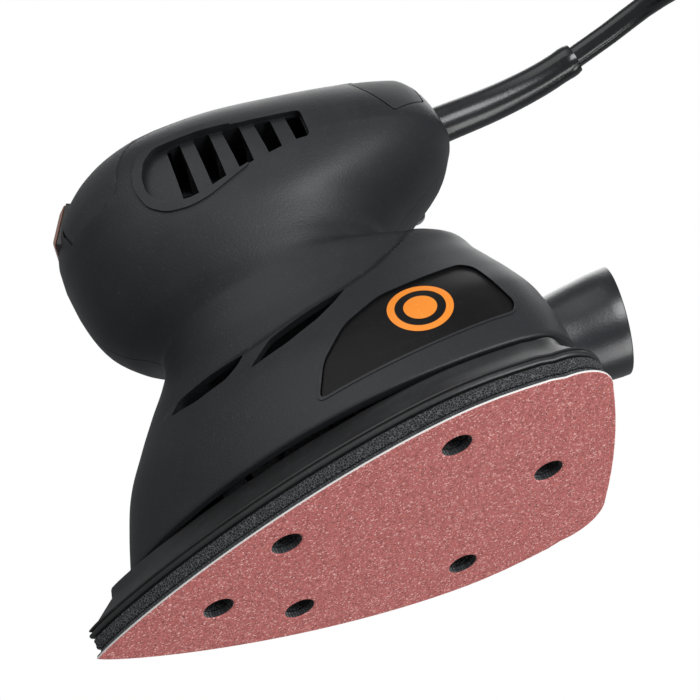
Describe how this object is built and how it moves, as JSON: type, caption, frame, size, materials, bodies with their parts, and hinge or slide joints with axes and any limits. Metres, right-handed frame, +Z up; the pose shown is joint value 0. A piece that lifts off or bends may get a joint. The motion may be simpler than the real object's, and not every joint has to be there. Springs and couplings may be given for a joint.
{
  "type": "detail sander",
  "caption": "Palm-held detail sander with pointed orbiting pad, dust outlet, vented two-part housing, top grip inlay, front rocker switch and mains lead with plug.",
  "frame": {"origin": "on the sanding face, under the motor's vertical axis; the tool stands on its sanding sheet at z = 0", "axes": "+Z up along the motor shaft, +Y toward the tail and the lead, -Y toward the pad's point, +X toward the tool's left side"},
  "size_m": [0.1211, 0.286, 0.137],
  "materials": {
    "housing_left": "matte",
    "housing_right": "matte",
    "grip_strip": "matte",
    "tail_inlay": "matte",
    "label_plate_left": "gloss",
    "label_plate_right": "gloss",
    "switch_bezel": "matte",
    "switch_boot": "gloss",
    "switch_body": "matte",
    "switch_rocker": "gloss",
    "strain_relief": "matte",
    "cord_clamp": "matte",
    "clamp_screw_1": "satin",
    "clamp_screw_2": "satin",
    "cord": "matte",
    "cord_coil": "matte",
    "cord_tie": "matte",
    "plug_body": "matte",
    "plug_blade_1": "satin",
    "plug_blade_2": "satin",
    "housing_screw_1": "satin",
    "housing_screw_2": "satin",
    "housing_screw_3": "satin",
    "housing_screw_4": "satin",
    "stator": "matte",
    "field_coil_front": "satin",
    "field_coil_rear": "satin",
    "armature_core": "matte",
    "armature_winding_lower": "satin",
    "armature_winding_upper": "satin",
    "commutator": "satin",
    "shaft": "satin",
    "bearing_upper": "satin",
    "bearing_lower": "satin",
    "carbon_brush_front": "matte",
    "carbon_brush_rear": "matte",
    "brush_holder_front": "satin",
    "brush_holder_rear": "satin",
    "fan": "satin",
    "eccentric": "satin",
    "bearing_pad": "satin",
    "pad_screw": "satin",
    "rubber_post_1": "matte",
    "rubber_post_2": "matte",
    "rubber_post_3": "matte",
    "rubber_post_4": "matte",
    "platen": "matte",
    "foam_pad": "matte",
    "hook_face": "matte",
    "sanding_sheet": "matte",
    "dust_port": "gloss"
  },
  "bodies": {
    "housing": {"housing_left": "housing_left", "housing_right": "housing_right", "grip_strip": "grip_strip", "tail_inlay": "tail_inlay", "label_plate_left": "label_plate_left", "label_plate_right": "label_plate_right", "switch_bezel": "switch_bezel", "switch_boot": "switch_boot", "switch_body": "switch_body", "strain_relief": "strain_relief", "cord_clamp": "cord_clamp", "clamp_screw_1": "clamp_screw_1", "clamp_screw_2": "clamp_screw_2", "cord": "cord", "cord_coil": "cord_coil", "cord_tie": "cord_tie", "plug_body": "plug_body", "plug_blade_1": "plug_blade_1", "plug_blade_2": "plug_blade_2", "housing_screw_1": "housing_screw_1", "housing_screw_2": "housing_screw_2", "housing_screw_3": "housing_screw_3", "housing_screw_4": "housing_screw_4", "stator": "stator", "field_coil_front": "field_coil_front", "field_coil_rear": "field_coil_rear", "bearing_upper": "bearing_upper", "bearing_lower": "bearing_lower", "carbon_brush_front": "carbon_brush_front", "carbon_brush_rear": "carbon_brush_rear", "brush_holder_front": "brush_holder_front", "brush_holder_rear": "brush_holder_rear", "rubber_post_1": "rubber_post_1", "rubber_post_2": "rubber_post_2", "rubber_post_3": "rubber_post_3", "rubber_post_4": "rubber_post_4", "dust_port": "dust_port"},
    "rotor": {"shaft": "shaft", "armature_core": "armature_core", "armature_winding_lower": "armature_winding_lower", "armature_winding_upper": "armature_winding_upper", "commutator": "commutator", "fan": "fan", "eccentric": "eccentric"},
    "pad": {"platen": "platen", "foam_pad": "foam_pad", "hook_face": "hook_face", "sanding_sheet": "sanding_sheet", "bearing_pad": "bearing_pad", "pad_screw": "pad_screw"},
    "rocker": {"switch_rocker": "switch_rocker"}
  },
  "joints": [
    {"name": "motor_spin", "type": "hinge", "parent": "housing", "child": "rotor", "pos_m": [0, 0, 0.06], "axis": [0, 0, 1], "continuous": true},
    {"name": "pad_orbit", "type": "hinge", "parent": "rotor", "child": "pad", "pos_m": [0, 0.0009, 0.01], "axis": [0, 0, 1], "continuous": true, "deforming": ["rubber_post_1", "rubber_post_2", "rubber_post_3", "rubber_post_4"]},
    {"name": "switch_rock", "type": "hinge", "parent": "housing", "child": "rocker", "pos_m": [0, -0.04367, 0.1188], "axis": [1, 0, 0], "range_deg": [-8, 8]}
  ],
  "couplings": [
    {"joint": "pad_orbit", "follows": "motor_spin", "ratio": -1}
  ]
}
